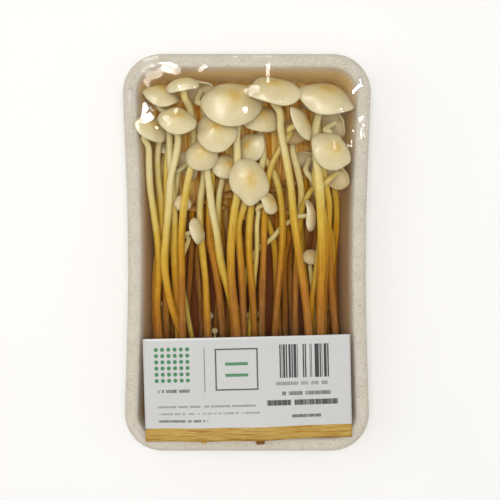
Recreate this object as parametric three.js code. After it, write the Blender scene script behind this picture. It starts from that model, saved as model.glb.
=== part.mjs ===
// A bunch of golden enoki mushrooms in a moulded-pulp tray, under clear film with a paper label.
// Millimetres. The pack rests on z = 0, the caps lie towards +Y and the cut stem ends towards -Y.
import * as THREE from "three";

// Tray
const TRAY_LENGTH = 204;
const TRAY_WIDTH = 127;
const CORNER_RADIUS = 20;
const LEAST_RADIUS = 5;
const WAIST = 2.4;
const PULP = 1.6;
const RIM_HEIGHT = 27;
const RIM_WIDTH = 7;
const RIM_CREST = 3;
const RIM_EDGE = 1;
const RIM_FALL = 0.4;
const LIP_DROP = 3;
const LIP_TURN = 0.6;
const WALL_RUN = 6;
const HEEL_RISE = 5;
const FLOOR_INSET = 17;
const BASE_INSET = 15;
const CORNER_STEPS = 6;
const SIDE_STEPS = 6;

// Film and label
const GAP = 0.3;
const FILM = 0.4;
const FILM_EDGE = 0.6;
const FILM_HEEL = 2;
const FILM_TUCK = 26;
const FILM_CELL = 2;
const FILM_REACH = 7;
const FILM_SHARES = [0.12, 0.24, 0.36, 0.48, 0.59, 0.69, 0.78, 0.86, 0.93];
const FILM_BULGE = 7;
const FILM_SLACK = 6;
const FILM_FULLNESS = 4;
const STRETCHING_TURNS = 300;
const LABEL_LIFT = 1.8;
const LABEL = { width: 106, height: 53, thick: 0.3, x: 0.4, y: -68.4, turn: 1.4, columns: 12, rows: 6 };

// Caps, as shares of a cap's radius or height
const DOME = 0.55;
const CAP_SEAT = 0.1;
const CAP_HANG = 0.4;
const GILLS_FROM_STEM = 0.12;
const GILLS_TOP = 0.03;
const GILLS_OUT = 0.9;
const GILLS_RISE = 0.08;
const GILL_DEPTH = 0.05;
const SHOULDER = [0.9, 0.45];
const CROWN = [0.52, 0.86];
const RIM_WAVE = 0.045;
const LIP_WIDTH = 0.3;
const CAP_SIDES = 14;
const GILLED_SIDES = 36;

// Stems
const NECK = 7;
const STEM_SIDES = 5;
const STEM_RINGS = 12;
const STEM_TAPER = 0.8;
const CLOSER_TO_CAP = 1.4;
const STEM_LEVEL = 0.7;
const FOOT_Y = -82;
const FOOT_SPREAD = 5;
const OVER_RIM = 5;

// The lowest layer and the tiny unopened mushrooms
const DEEP = { count: 16, pitch: 5.8, tilt: 80, sway: 3, rings: 9, sides: 8 };
const DEEP_CAP_Y = [8, 46];
const DEEP_NECK_Y = -16;
const DEEP_BENDS_Y = [0, -40];
const DEEP_ACROSS = [7, 10];
const DEEP_STEM = [1.5, 2.1];
const PIN = { tilt: 25, dome: 0.8, slender: 5, level: 0.35, rings: 4, sides: 8 };

// Settling
const SEED = 7;
const SETTLING_TURNS = 800;
const EARLY = 0.2;
const LOOSE = 0.6;
const STIFF = 0.85;
const HOLD = 0.03;
const CAP_HOLD = 0.16;
const STIFFNESS = 0.15;
const SIDEWAYS = 0.4;
const MOST_PUSH = 0.6;
const ROUND_BALL = 0.6;
const CORE_BALL = 0.5;
const CORE_LIFT = 0.1;
const RING_BALLS = 14;
const RING_BALL = 0.36;
const RING_REACH = 0.7;
const RING_LIFT = 0.35;
const BALL_SPACING = 1.15;
const BALL_CELL = 8;
const ROUND_CELL = 16;
const MOST_CELLS = 512;
const NEARBY = [-1, 0, 1];
const TINY = 1e-6;

const BASE_Z = FILM + GAP;
const FLOOR_Z = BASE_Z + PULP;
const LIP_HEIGHT = RIM_HEIGHT - LIP_DROP;
const { clamp, degToRad, lerp } = THREE.MathUtils;
const TURN = 2 * Math.PI;

// The inside and the outside of the tray from its outer edge inwards, as [inset, height].
const INSIDE = [
  [0, LIP_HEIGHT],
  [RIM_EDGE, RIM_HEIGHT - RIM_EDGE],
  [RIM_CREST, RIM_HEIGHT],
  [RIM_WIDTH, RIM_HEIGHT - RIM_FALL],
  [RIM_WIDTH + WALL_RUN, FLOOR_Z + HEEL_RISE],
  [FLOOR_INSET, FLOOR_Z],
];
const OUTSIDE = [
  [BASE_INSET, BASE_Z],
  [RIM_WIDTH + WALL_RUN - 1, FLOOR_Z + HEEL_RISE - 1],
  [RIM_WIDTH - 1, RIM_HEIGHT - PULP - 1],
  [RIM_CREST, RIM_HEIGHT - PULP],
  [PULP, LIP_HEIGHT - LIP_TURN],
  [RIM_FALL, LIP_HEIGHT - PULP],
];

let state = SEED;
function random(low, high) {
  state = (state * 1664525 + 1013904223) % 2 ** 32;
  return low + ((high - low) * state) / 2 ** 32;
}

// A closed solid through rings of points, from a point at one end to a point at the other.
function loft(rings) {
  const points = [];
  const faces = [];
  const loops = rings.map((ring) => ring.map((point) => points.push(point) - 1));
  for (let k = 1; k < loops.length; k++) {
    const a = loops[k - 1];
    const b = loops[k];
    const endA = a.length === 1 ? 0 : a.length;
    const endB = b.length === 1 ? 0 : b.length;
    let i = 0;
    let j = 0;
    while (i < endA || j < endB) {
      const fromA = a[i % a.length];
      const fromB = b[j % b.length];
      if (j >= endB || (i < endA && (i + 1) * endB <= (j + 1) * endA)) {
        i += 1;
        faces.push(fromA, a[i % a.length], fromB);
      } else {
        j += 1;
        faces.push(fromA, b[j % b.length], fromB);
      }
    }
  }
  return new THREE.BufferGeometry().setFromPoints(points).setIndex(faces);
}

// How far the long side is drawn in at a place along the tray.
function waistAt(y) {
  return WAIST * Math.max(0, 1 - (2 * y / TRAY_LENGTH) ** 2) ** 2;
}

// The tray's rounded outline, drawn in by an inset, at one height.
function outline(inset, height) {
  const halfX = TRAY_WIDTH / 2 - inset;
  const halfY = TRAY_LENGTH / 2 - inset;
  const radius = Math.max(CORNER_RADIUS - inset, LEAST_RADIUS);
  const ring = [];
  for (let corner = 0; corner < 4; corner++) {
    const signX = corner === 0 || corner === 3 ? 1 : -1;
    const signY = corner < 2 ? 1 : -1;
    for (let step = 0; step <= CORNER_STEPS; step++) {
      const angle = (corner + step / CORNER_STEPS) * TURN / 4;
      const x = signX * (halfX - radius) + radius * Math.cos(angle);
      const y = signY * (halfY - radius) + radius * Math.sin(angle);
      ring.push(new THREE.Vector3(x, y, height));
    }
    const long = corner % 2 === 1;
    for (let step = 1; step < SIDE_STEPS; step++) {
      const along = 1 - 2 * step / SIDE_STEPS;
      const x = signX * (long ? halfX : along * (halfX - radius));
      const y = signY * (long ? along * (halfY - radius) : halfY);
      ring.push(new THREE.Vector3(x, y, height));
    }
  }
  for (const point of ring) point.x -= waistAt(point.y) * point.x / halfX;
  return ring;
}

// How far a place lies inside the tray's outer edge.
function insetAt(x, y) {
  const outX = Math.abs(x) - (TRAY_WIDTH / 2 - waistAt(y) - CORNER_RADIUS);
  const outY = Math.abs(y) - (TRAY_LENGTH / 2 - CORNER_RADIUS);
  const outside = Math.hypot(Math.max(outX, 0), Math.max(outY, 0));
  return CORNER_RADIUS - outside - Math.min(Math.max(outX, outY), 0);
}

function trayHeight(x, y) {
  const inset = insetAt(x, y);
  if (inset <= 0) return LIP_HEIGHT;
  for (let k = 1; k < INSIDE.length; k++) {
    const [from, high] = INSIDE[k - 1];
    const [to, low] = INSIDE[k];
    if (inset < to) return lerp(high, low, (inset - from) / (to - from));
  }
  return FLOOR_Z;
}

function trayShape() {
  const rings = [...OUTSIDE, ...INSIDE].map(([inset, height]) => outline(inset, height));
  return loft([[new THREE.Vector3(0, 0, BASE_Z)], ...rings, [new THREE.Vector3(0, 0, FLOOR_Z)]]);
}

// The mushrooms that show: where the cap is drawn to, its diameter, its tilt from facing up and the heading
// that it leans to, its dome's height over its radius, the stem's radius, the cap's level between the
// tray's floor and its rim, and the stem's path from the cap to its foot.
const LAID = [
  { cap: [46, 50], across: 11, tilt: 70, heading: 90, stem: 1.9, level: 0.3,
    path: [[49, 34], [48, 12], [47, -9], [48, -37]], foot: 44 },
  { cap: [37.5, 46], across: 15, tilt: 120, heading: 70, stem: 1.8, gilled: true, level: 0.35,
    path: [[37, 33], [43, 16], [46, 4], [44, -13], [41, -30]], foot: 37 },
  { cap: [32, -2], across: 8.5, tilt: 30, heading: 90, stem: 1.4, level: 0.375,
    path: [[33, -14], [35, -40]], foot: 33 },
  { cap: [50, 42], across: 16, tilt: 130, heading: 40, stem: 1.7, gilled: true, level: 0.5,
    path: [[40, 36], [34, 28], [29, 8], [27, -20]], foot: 26 },
  { cap: [55, 72], across: 17, tilt: 118, heading: 35, stem: 1.7, gilled: true, level: 0.85,
    path: [[46, 57], [44, 46], [40, 14], [34, -30]], foot: 30 },
  { cap: [34, 22.5], across: 15, tilt: 80, heading: 5, stem: 1.5, level: 0.5,
    path: [[25, 20], [19, 16], [12, 8], [3, 0], [-3, -25]], foot: -5 },
  { cap: [-50, 80], across: 12, tilt: 65, heading: 110, stem: 1.9, level: 0.55,
    path: [[-46, 62], [-45, 40], [-44, 10], [-44, -30]], foot: -42 },
  { cap: [-56, 67], across: 12, tilt: 80, heading: 160, stem: 1.9, level: 0.5,
    path: [[-50, 58], [-50, 46], [-47, 26], [-47, 5], [-50, -13]], foot: -47 },
  { cap: [-42, 57], across: 12, tilt: 60, heading: 70, stem: 1.9, level: 0.25,
    path: [[-46, 48], [-48, 37], [-49, 22], [-49, 0], [-46, -25]], foot: -37 },
  { cap: [-42, 82], across: 19, tilt: 62, heading: 75, stem: 2, level: 0.75,
    path: [[-41, 66], [-40, 45], [-37, 20], [-37, -10], [-34, -42]], foot: -27 },
  { cap: [7, 40], across: 14, tilt: 55, heading: 50, stem: 1.9, level: 0.4,
    path: [[6, 29], [11, 19], [15, 5], [16, -16]], foot: 18 },
  { cap: [2, 55.5], across: 16, tilt: 40, heading: 150, stem: 2, level: 0.6,
    path: [[12, 47], [16, 38], [18, 28], [19, 10], [18, -5], [16, -24]], foot: 13 },
  { cap: [25, 65], across: 15, tilt: 35, heading: 100, dome: 0.8, stem: 2, level: 0.45,
    path: [[28, 53], [30, 42], [31, 24], [31, 0], [34, -23]], foot: 35 },
  { cap: [5.5, 71], across: 18.5, tilt: 42, heading: 75, stem: 2, level: 0.75,
    path: [[6, 50], [1, 25], [0, 0], [2, -30]], foot: 4 },
  { cap: [-35, 50], across: 15, tilt: 125, heading: 40, stem: 1.7, gilled: true, level: 0.4,
    path: [[-40, 42], [-42, 30], [-43, 18], [-45, 2], [-49, -12], [-50, -30]], foot: -44 },
  { cap: [-29.5, 88.5], across: 16, tilt: 68, heading: 100, stem: 2, level: 1.05,
    path: [[-26, 75], [-25, 60], [-30, 36], [-33, 14], [-33, -16]], foot: -32 },
  { cap: [-23, 95.5], across: 18, tilt: 125, heading: 75, stem: 1.9, gilled: true, level: 0.92,
    path: [[-23, 76], [-24, 55], [-26, 30], [-25, 12], [-22, -15]], foot: -20 },
  { cap: [-37, 74], across: 18, tilt: 45, heading: 80, stem: 2.1, level: 1,
    path: [[-36, 58], [-39, 48], [-40, 30], [-42, 10], [-43, -6], [-40, -24], [-34, -44]], foot: -29 },
  { cap: [-47, 67.5], across: 17, tilt: 58, heading: 45, dome: 0.45, stem: 2, level: 0.7,
    path: [[-50, 55], [-51, 44], [-50, 30], [-47, 10], [-46, -10], [-47, -32]], foot: -40 },
  { cap: [-11, 68.5], across: 21, tilt: 30, heading: 90, stem: 2.1, level: 0.78,
    path: [[-13, 50], [-15, 32], [-16, 18], [-16, 4], [-13, -18]], foot: -10 },
  { cap: [-10.5, 49], across: 14.5, tilt: 38, heading: 45, stem: 1.9, level: 0.6,
    path: [[-14, 38], [-16, 26], [-16, 12], [-14, -4], [-8, -30]], foot: -7 },
  { cap: [39, 68], across: 18, tilt: 65, heading: 25, dome: 0.4, stem: 1.8, level: 0.9,
    path: [[21, 54], [15, 45], [10, 28], [9, 0], [8, -35]], foot: 9 },
  { cap: [-4.5, 91], across: 27.5, tilt: 38, heading: 75, dome: 0.5, stem: 2.3, level: 1.1,
    path: [[-6, 62], [-5, 40], [-8, 15], [-8, -10], [-5, -35]], foot: -3 },
  { cap: [41, 94], across: 16, tilt: 100, heading: 88, dome: 0.3, stem: 1.9, gilled: true, level: 0.95,
    path: [[41, 70], [42, 40], [41, 0], [40, -40]], foot: 41 },
  { cap: [16.5, 90.5], across: 23, tilt: 55, heading: 85, dome: 0.45, stem: 2.2, level: 1.4,
    path: [[17, 66], [19, 56], [22, 38], [24, 18], [27, -3], [31, -31]], foot: 33 },
  { cap: [44.5, 53.5], across: 20, tilt: 32, heading: 45, stem: 2, level: 0.85,
    path: [[42, 42], [41, 20], [43, -15], [46, -45]], foot: 47 },
  { cap: [46, 89], across: 28, tilt: 56, heading: 80, dome: 0.45, stem: 2.5, level: 1.2,
    path: [[42, 67], [40, 54], [39, 36], [38.5, 12], [38, -16], [38, -44]], foot: 37 },
  { cap: [-23, 55.5], across: 16, tilt: 22, heading: 80, dome: 0.8, stem: 2.2, overRim: true, level: 0.8,
    path: [[-21, 42], [-20, 30], [-17, 14], [-14, -5], [-9, -23], [-4, -41], [2, -60]], foot: 7 },
  { cap: [0, 38], across: 21, tilt: 15, heading: 60, lip: 0.22, stem: 2, sides: 24, level: 0.85,
    path: [[-2, 26], [-5, 17], [-5, 8], [-4, -3], [-3, -16], [-2, -43]], foot: -1 },
  { cap: [-34.5, 26.5], across: 8.5, tilt: 20, heading: 90, dome: 0.85, stem: 1.5, overRim: true, level: 0.6,
    path: [[-34, 17], [-37, 6], [-36, -10], [-32, -32], [-27, -60]], foot: -22 },
  { cap: [-25.5, 12], across: 13, tilt: 70, heading: 15, stem: 1.4, level: 0.6,
    path: [[-31, 7], [-35, -2], [-37, -14], [-37, -30]], foot: -36 },
  { cap: [11, 27], across: 12, tilt: 60, heading: 25, stem: 1.5, level: 0.7,
    path: [[5, 21], [4, 12], [5, 3], [4, -9], [2.5, -30], [1, -50]], foot: -2 },
];

// Tiny unopened mushrooms low between the stems: cap, diameter and foot.
const PINS = [
  { cap: [-45, -26], across: 3, foot: [-44, -40] },
  { cap: [-20, -33], across: 4.5, foot: [-19, -50] },
  { cap: [-17, -41], across: 3.6, foot: [-18, -56] },
  { cap: [1, -33], across: 2.8, foot: [-1, -47] },
  { cap: [7, -32], across: 4.2, foot: [4, -48] },
  { cap: [34, -15], across: 2.8, foot: [33, -32] },
  { cap: [43, -13], across: 4.2, foot: [43, -30] },
];

// The lowest layer, mostly hidden: small mushrooms side by side along the floor.
function deepMushrooms() {
  const { count, pitch, tilt, sway, rings, sides } = DEEP;
  return Array.from({ length: count }, (_, k) => {
    const x = (k - (count - 1) / 2) * pitch;
    const top = random(...DEEP_CAP_Y);
    const across = random(...DEEP_ACROSS);
    const stem = random(...DEEP_STEM);
    const shape = { across, tilt, heading: 90, stem, rings, sides, level: 0 };
    const swayed = () => x + random(-sway, sway);
    const path = [top + DEEP_NECK_Y, ...DEEP_BENDS_Y].map((y) => [swayed(), y]);
    return { ...shape, cap: [x, top], path, foot: x };
  });
}

// A tiny unopened mushroom.
function pinMushroom({ cap, across, foot }) {
  const { tilt, dome, slender, level, rings, sides } = PIN;
  const shape = { across, tilt, heading: 90, dome, stem: across / slender, neck: across };
  return { ...shape, rings, sides, level, cap, path: [foot] };
}

// A cap's own frame: its axis out of the top, and the way across it that points most towards -Y.
function capFrame({ tilt, heading }) {
  const lean = degToRad(tilt);
  const way = degToRad(heading);
  const level = Math.sin(lean);
  const axis = new THREE.Vector3(level * Math.cos(way), level * Math.sin(way), Math.cos(lean));
  const front = new THREE.Vector3(0, -1, 0).projectOnPlane(axis).normalize();
  return { axis, front, side: axis.clone().cross(front) };
}

// Where a cap's rim, middle and crown are along its axis, from the end of the stem.
function capHeights({ across, dome = DOME }) {
  const radius = across / 2;
  const rim = (CAP_SEAT - CAP_HANG * dome) * radius;
  const high = rim + dome * radius;
  return { radius, rim, high, middle: (rim + high) / 2 };
}

// Rings of a cap about the end of its stem, from the gills round the rim to the crown.
function capRings(row, end, frame, sides) {
  const { radius, rim, high } = capHeights(row);
  const profile = [
    [row.stem / radius + GILLS_FROM_STEM, GILLS_TOP * radius, GILL_DEPTH],
    [GILLS_OUT, rim + GILLS_RISE * radius, GILL_DEPTH],
    [1, rim, 0],
    [SHOULDER[0], lerp(rim, high, SHOULDER[1]), 0],
    [CROWN[0], lerp(rim, high, CROWN[1]), 0],
  ];
  const ringAt = ([share, along, depth]) => Array.from({ length: sides }, (_, k) => {
    const angle = TURN * k / sides;
    const fromFront = Math.min(angle, TURN - angle);
    const lip = (row.lip ?? 0) * Math.exp(-((fromFront / LIP_WIDTH) ** 2));
    const reach = share * radius * (1 + share * (RIM_WAVE * Math.sin(2 * angle + row.turn) + lip));
    const droop = share ** 2 * RIM_WAVE * radius * Math.sin(3 * angle + 2 * row.turn);
    const ridge = depth * radius * (k % 2 ? 1 : -1);
    return end.clone()
      .addScaledVector(frame.axis, along + droop + ridge)
      .addScaledVector(frame.front, reach * Math.cos(angle))
      .addScaledVector(frame.side, reach * Math.sin(angle));
  });
  const crown = end.clone().addScaledVector(frame.axis, high);
  return [...profile.map(ringAt), [crown]];
}

// Balls that stand for a cap about the end of its stem: one round it, which shoves stems out from under
// it, or a close set that fills it.
function roundBall(row, { axis }) {
  const { radius, middle } = capHeights(row);
  return [{ offset: axis.clone().multiplyScalar(middle), radius: ROUND_BALL * radius }];
}

function capBalls(row, { axis, front, side }) {
  const { radius, rim, high, middle } = capHeights(row);
  const offset = axis.clone().multiplyScalar(middle);
  const core = { offset, radius: CORE_BALL * radius + CORE_LIFT * high };
  const ring = Array.from({ length: RING_BALLS }, (_, k) => {
    const angle = TURN * k / RING_BALLS;
    const outwards = axis.clone().multiplyScalar(lerp(rim, high, RING_LIFT))
      .addScaledVector(front, RING_REACH * radius * Math.cos(angle))
      .addScaledVector(side, RING_REACH * radius * Math.sin(angle));
    return { offset: outwards, radius: RING_BALL * radius };
  });
  return [core, ...ring];
}

// A mushroom before it settles: the centres of its stem's rings from foot to cap.
function place(name, row) {
  row.turn = random(0, TURN);
  const frame = capFrame(row);
  const level = FLOOR_Z + row.stem + row.level * (RIM_HEIGHT - FLOOR_Z - row.stem);
  const end = new THREE.Vector3(row.cap[0], row.cap[1], level);
  const { middle } = capHeights(row);
  end.x -= frame.axis.x * middle;
  end.y -= frame.axis.y * middle;
  const neck = end.clone().addScaledVector(frame.axis, -(row.neck ?? NECK));
  const route = row.path.map(([x, y]) => new THREE.Vector3(x, y, level * STEM_LEVEL)).reverse();
  if (row.overRim) {
    route.unshift(new THREE.Vector3(row.foot, OVER_RIM - TRAY_LENGTH / 2, RIM_HEIGHT + row.stem + GAP));
  } else if (row.foot) {
    const footY = FOOT_Y + random(-FOOT_SPREAD, FOOT_SPREAD);
    route.unshift(new THREE.Vector3(row.foot, footY, level * STEM_LEVEL));
  }
  const curve = new THREE.CatmullRomCurve3([...route, neck], false, "centripetal");
  const last = (row.rings ?? STEM_RINGS) - 2;
  const points = [];
  for (let k = 0; k <= last; k++) points.push(curve.getPointAt(1 - (1 - k / last) ** CLOSER_TO_CAP));
  points.push(end);
  const moves = points.map(() => ({ x: 0, y: 0, z: 0, weight: 0 }));
  return { name, row, frame, points, moves, aims: points.map((point) => point.clone()) };
}

// Every ball of the pile where it is now: along each stem, and in each cap.
function ballsOf(mushrooms, ballsOfCap = capBalls) {
  const balls = [];
  for (const owner of mushrooms) {
    const { points, row, frame } = owner;
    const last = points.length - 1;
    for (let k = 0; k < last; k++) {
      const length = points[k].distanceTo(points[k + 1]);
      const steps = Math.max(2, Math.ceil(length / row.stem / BALL_SPACING));
      for (let step = 0; step < steps; step++) {
        const part = step / steps;
        const centre = points[k].clone().lerp(points[k + 1], part);
        balls.push({ owner, k, part, centre, radius: row.stem });
      }
    }
    for (const { offset, radius } of ballsOfCap(row, frame)) {
      balls.push({ owner, k: last, part: 0, centre: points[last].clone().add(offset), radius });
    }
  }
  return balls;
}

// Asks for a move of what a ball belongs to. A cap and its neck move as one.
function push(ball, x, y, z) {
  const { moves } = ball.owner;
  const last = moves.length - 1;
  const ask = (k, weight) => {
    const move = moves[k < last - 1 ? k : last];
    move.x += weight * x;
    move.y += weight * y;
    move.z += weight * z;
    move.weight += weight;
  };
  ask(ball.k, 1 - ball.part);
  if (ball.part > 0) ask(ball.k + 1, ball.part);
}

// Makes the moves that were asked for, each the mean of what was asked.
function move({ points, moves }) {
  const last = moves.length - 1;
  points.forEach((point, k) => {
    const { x, y, z, weight } = moves[k < last - 1 ? k : last];
    if (weight > 0) point.add(new THREE.Vector3(x, y, z).divideScalar(weight));
  });
  for (const asked of moves) Object.assign(asked, { x: 0, y: 0, z: 0, weight: 0 });
}

function pushPairApart(ball, other) {
  const way = ball.centre.clone().sub(other.centre);
  const distance = way.length();
  const overlap = ball.radius + other.radius + GAP - distance;
  if (overlap <= 0) return;
  way.multiplyScalar(Math.min(overlap / 2, MOST_PUSH) / Math.max(distance, TINY));
  way.x *= SIDEWAYS;
  way.y *= SIDEWAYS;
  push(ball, way.x, way.y, way.z);
  push(other, -way.x, -way.y, -way.z);
}

function pushApart(balls, size) {
  const grid = new Map();
  const cell = (value) => Math.floor(value / size) + MOST_CELLS / 4;
  const key = (column, row, level) => (column * MOST_CELLS + row) * MOST_CELLS + level;
  for (const ball of balls) {
    const [column, row, level] = ball.centre.toArray().map(cell);
    for (const i of NEARBY) {
      for (const j of NEARBY) {
        for (const k of NEARBY) {
          for (const other of grid.get(key(column + i, row + j, level + k)) ?? []) {
            if (other.owner !== ball.owner) pushPairApart(ball, other);
          }
        }
      }
    }
    const own = key(column, row, level);
    if (!grid.has(own)) grid.set(own, []);
    grid.get(own).push(ball);
  }
}

// The nearest place on the inside of the tray, as the way from it to a ball, inwards and upwards.
function fromTray(inset, z) {
  let nearest = { distance: Infinity };
  for (let k = 1; k <= INSIDE.length; k++) {
    const [fromInset, fromHeight] = INSIDE[k - 1];
    const [toInset, toHeight] = INSIDE[k] ?? [TRAY_WIDTH, FLOOR_Z];
    const along = toInset - fromInset;
    const down = toHeight - fromHeight;
    const part = ((inset - fromInset) * along + (z - fromHeight) * down) / (along ** 2 + down ** 2);
    const held = clamp(part, 0, 1);
    const inwards = inset - fromInset - held * along;
    const upwards = z - fromHeight - held * down;
    const distance = Math.hypot(inwards, upwards);
    if (distance < nearest.distance) nearest = { distance, inwards, upwards };
  }
  return nearest;
}

// Keeps a ball off the tray and under the film.
function keepInside(ball) {
  const { x, y, z } = ball.centre;
  const { distance, inwards, upwards } = fromTray(insetAt(x, y), z);
  const sign = z >= trayHeight(x, y) ? 1 : -1;
  const overlap = ball.radius + GAP - sign * distance;
  if (overlap > 0) {
    const reach = Math.min(overlap, MOST_PUSH) * sign / Math.max(distance, TINY);
    const towardsX = insetAt(x + GAP, y) - insetAt(x - GAP, y);
    const towardsY = insetAt(x, y + GAP) - insetAt(x, y - GAP);
    const level = reach * inwards / (Math.hypot(towardsX, towardsY) || 1);
    push(ball, level * towardsX, level * towardsY, reach * upwards);
  }
  const fromSides = Math.max(0, 1 - (2 * x / TRAY_WIDTH) ** FILM_FULLNESS);
  const fromEnds = Math.max(0, 1 - (2 * y / TRAY_LENGTH) ** FILM_FULLNESS);
  const most = RIM_HEIGHT + FILM_SLACK + FILM_BULGE * fromSides * fromEnds;
  const over = z + ball.radius - most;
  if (over > 0) push(ball, 0, 0, -Math.min(over, MOST_PUSH));
}

// Draws a mushroom back to where it was laid, and keeps its stem's bends.
function ease({ points, aims }, loose, stiff) {
  const last = points.length - 1;
  points.forEach((point, k) => {
    const hold = (k < last - 1 ? HOLD : CAP_HOLD) * loose;
    point.lerp(aims[k], hold);
    if (k > 0 && k < last - 1) {
      const strain = points[k - 1].clone().add(points[k + 1]).sub(aims[k - 1]).sub(aims[k + 1]);
      point.addScaledVector(strain.multiplyScalar(0.5).add(aims[k]).sub(point), STIFFNESS * stiff);
    }
  });
}

// Lets the mushrooms settle and pushes them apart until none cross.
function settle(mushrooms) {
  for (let turn = 0; turn < SETTLING_TURNS; turn++) {
    const done = turn / SETTLING_TURNS;
    const loose = clamp((LOOSE - done) / (LOOSE - EARLY), 0, 1);
    const stiff = clamp((STIFF - done) / (STIFF - LOOSE), 0, 1);
    for (const mushroom of mushrooms) ease(mushroom, loose, stiff);
    const early = done < EARLY;
    const balls = ballsOf(mushrooms, early ? roundBall : capBalls);
    pushApart(balls, early ? ROUND_CELL : BALL_CELL);
    balls.forEach(keepInside);
    mushrooms.forEach(move);
  }
}

// One closed solid: the cut foot, the tapering stem, the gills, the rim and the crown.
function mushroomShape({ row, frame, points }) {
  const last = points.length - 1;
  const sides = row.sides ?? (row.gilled ? GILLED_SIDES : CAP_SIDES);
  const rings = capRings(row, points[last], frame, sides);
  const front = frame.front.clone();
  for (let k = last; k >= 0; k--) {
    const ahead = points[Math.min(k + 1, last)];
    const behind = points[Math.max(k - 1, 0)];
    const tangent = k === last ? frame.axis : ahead.clone().sub(behind).normalize();
    front.projectOnPlane(tangent).normalize();
    const side = tangent.clone().cross(front);
    const radius = row.stem * lerp(1, STEM_TAPER, k / last);
    rings.unshift(Array.from({ length: STEM_SIDES }, (_, i) => {
      const angle = TURN * i / STEM_SIDES;
      return points[k].clone()
        .addScaledVector(front, radius * Math.cos(angle))
        .addScaledVector(side, radius * Math.sin(angle));
    }));
  }
  return loft([[points[0]], ...rings]);
}

// The film's height over the tray: drawn tight over the rim and the highest caps.
function stretchFilm(balls) {
  const columns = Math.ceil(TRAY_WIDTH / FILM_CELL) + 3;
  const rows = Math.ceil(TRAY_LENGTH / FILM_CELL) + 3;
  const left = -(columns - 1) * FILM_CELL / 2;
  const bottom = -(rows - 1) * FILM_CELL / 2;
  const held = new Float64Array(columns * rows).map((_, k) => {
    const x = left + (k % columns) * FILM_CELL;
    const y = bottom + Math.floor(k / columns) * FILM_CELL;
    let high = RIM_HEIGHT;
    if (insetAt(x, y) > RIM_EDGE) {
      for (const { centre, radius } of balls) {
        const near = Math.hypot(centre.x - x, centre.y - y) < radius + FILM_REACH;
        if (near) high = Math.max(high, centre.z + radius);
      }
    }
    return high + GAP;
  });
  let heights = held;
  for (let turn = 0; turn < STRETCHING_TURNS; turn++) {
    heights = heights.map((height, k) => {
      const column = k % columns;
      const row = Math.floor(k / columns);
      if (column === 0 || row === 0 || column === columns - 1 || row === rows - 1) return height;
      const around = heights[k - 1] + heights[k + 1] + heights[k - columns] + heights[k + columns];
      return Math.max(held[k], around / 4);
    });
  }
  return (x, y) => {
    const column = clamp((x - left) / FILM_CELL, 0, columns - 1 - TINY);
    const row = clamp((y - bottom) / FILM_CELL, 0, rows - 1 - TINY);
    const k = Math.floor(row) * columns + Math.floor(column);
    const low = lerp(heights[k], heights[k + 1], column % 1);
    const high = lerp(heights[k + columns], heights[k + columns + 1], column % 1);
    return lerp(low, high, row % 1);
  };
}

// One skin of the film, from the middle of the top over the rim and round under the base.
function filmSkin(filmHeight, out) {
  const laid = (x, y) => new THREE.Vector3(x, y, filmHeight(x, y) + out);
  const edge = outline(0, 0);
  const top = FILM_SHARES.map((share) => edge.map(({ x, y }) => laid(x * share, y * share)));
  top.push(outline(RIM_CREST, 0).map(({ x, y }) => laid(x, y)));
  const round = [
    [FILM_EDGE - out, RIM_HEIGHT - FILM_EDGE + out],
    [-GAP - out, LIP_HEIGHT],
    [-GAP - out, LIP_HEIGHT - PULP - RIM_EDGE],
    [BASE_INSET - FILM_HEEL - out, BASE_Z + FILM_HEEL / 2 - out / 2],
    [BASE_INSET, FILM - out],
    [BASE_INSET + FILM_TUCK, FILM - out],
  ];
  return [[laid(0, 0)], ...top, ...round.map(([inset, height]) => outline(inset, height))];
}

function filmShape(filmHeight) {
  return loft([...filmSkin(filmHeight, 0), ...filmSkin(filmHeight, FILM).reverse()]);
}

// A thin sheet that follows the film under it.
function labelShape(filmHeight) {
  const { width, height, thick, turn, columns, rows } = LABEL;
  const across = new THREE.Vector2(Math.cos(degToRad(turn)), Math.sin(degToRad(turn)));
  const points = [];
  const faces = [];
  const line = columns + 1;
  const layer = line * (rows + 1);
  for (const lift of [0, thick]) {
    for (let k = 0; k < layer; k++) {
      const u = ((k % line) / columns - 0.5) * width;
      const v = (Math.floor(k / line) / rows - 0.5) * height;
      const x = LABEL.x + u * across.x - v * across.y;
      const y = LABEL.y + u * across.y + v * across.x;
      points.push(new THREE.Vector3(x, y, filmHeight(x, y) + FILM + LABEL_LIFT + lift));
    }
  }
  for (let row = 0; row < rows; row++) {
    for (let column = 0; column < columns; column++) {
      const a = row * line + column;
      const b = a + line;
      faces.push(a, b, a + 1, a + 1, b, b + 1);
      faces.push(a + layer, a + 1 + layer, b + layer, a + 1 + layer, b + 1 + layer, b + layer);
    }
  }
  const edge = [];
  for (let column = 0; column < columns; column++) edge.push(column);
  for (let row = 0; row < rows; row++) edge.push(columns + row * line);
  for (let column = columns; column > 0; column--) edge.push(rows * line + column);
  for (let row = rows; row > 0; row--) edge.push(row * line);
  edge.forEach((from, k) => {
    const to = edge[(k + 1) % edge.length];
    faces.push(from, to, to + layer, from, to + layer, from + layer);
  });
  return new THREE.BufferGeometry().setFromPoints(points).setIndex(faces);
}

const PULP_FINISH = { color: 0xcdc3b4, roughness: 0.9 };
const FLESH_FINISH = { color: 0xdcc98a, roughness: 0.5 };
const FILM_FINISH = { color: 0xf4f6f8, roughness: 0.05, transparent: true, opacity: 0.15 };
const PAPER_FINISH = { color: 0xe9e9ea, roughness: 0.6 };

const pack = new THREE.Group();
function add(name, shape, finish) {
  const mesh = new THREE.Mesh(shape, new THREE.MeshStandardMaterial(finish));
  mesh.name = name;
  pack.add(mesh);
}

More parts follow.
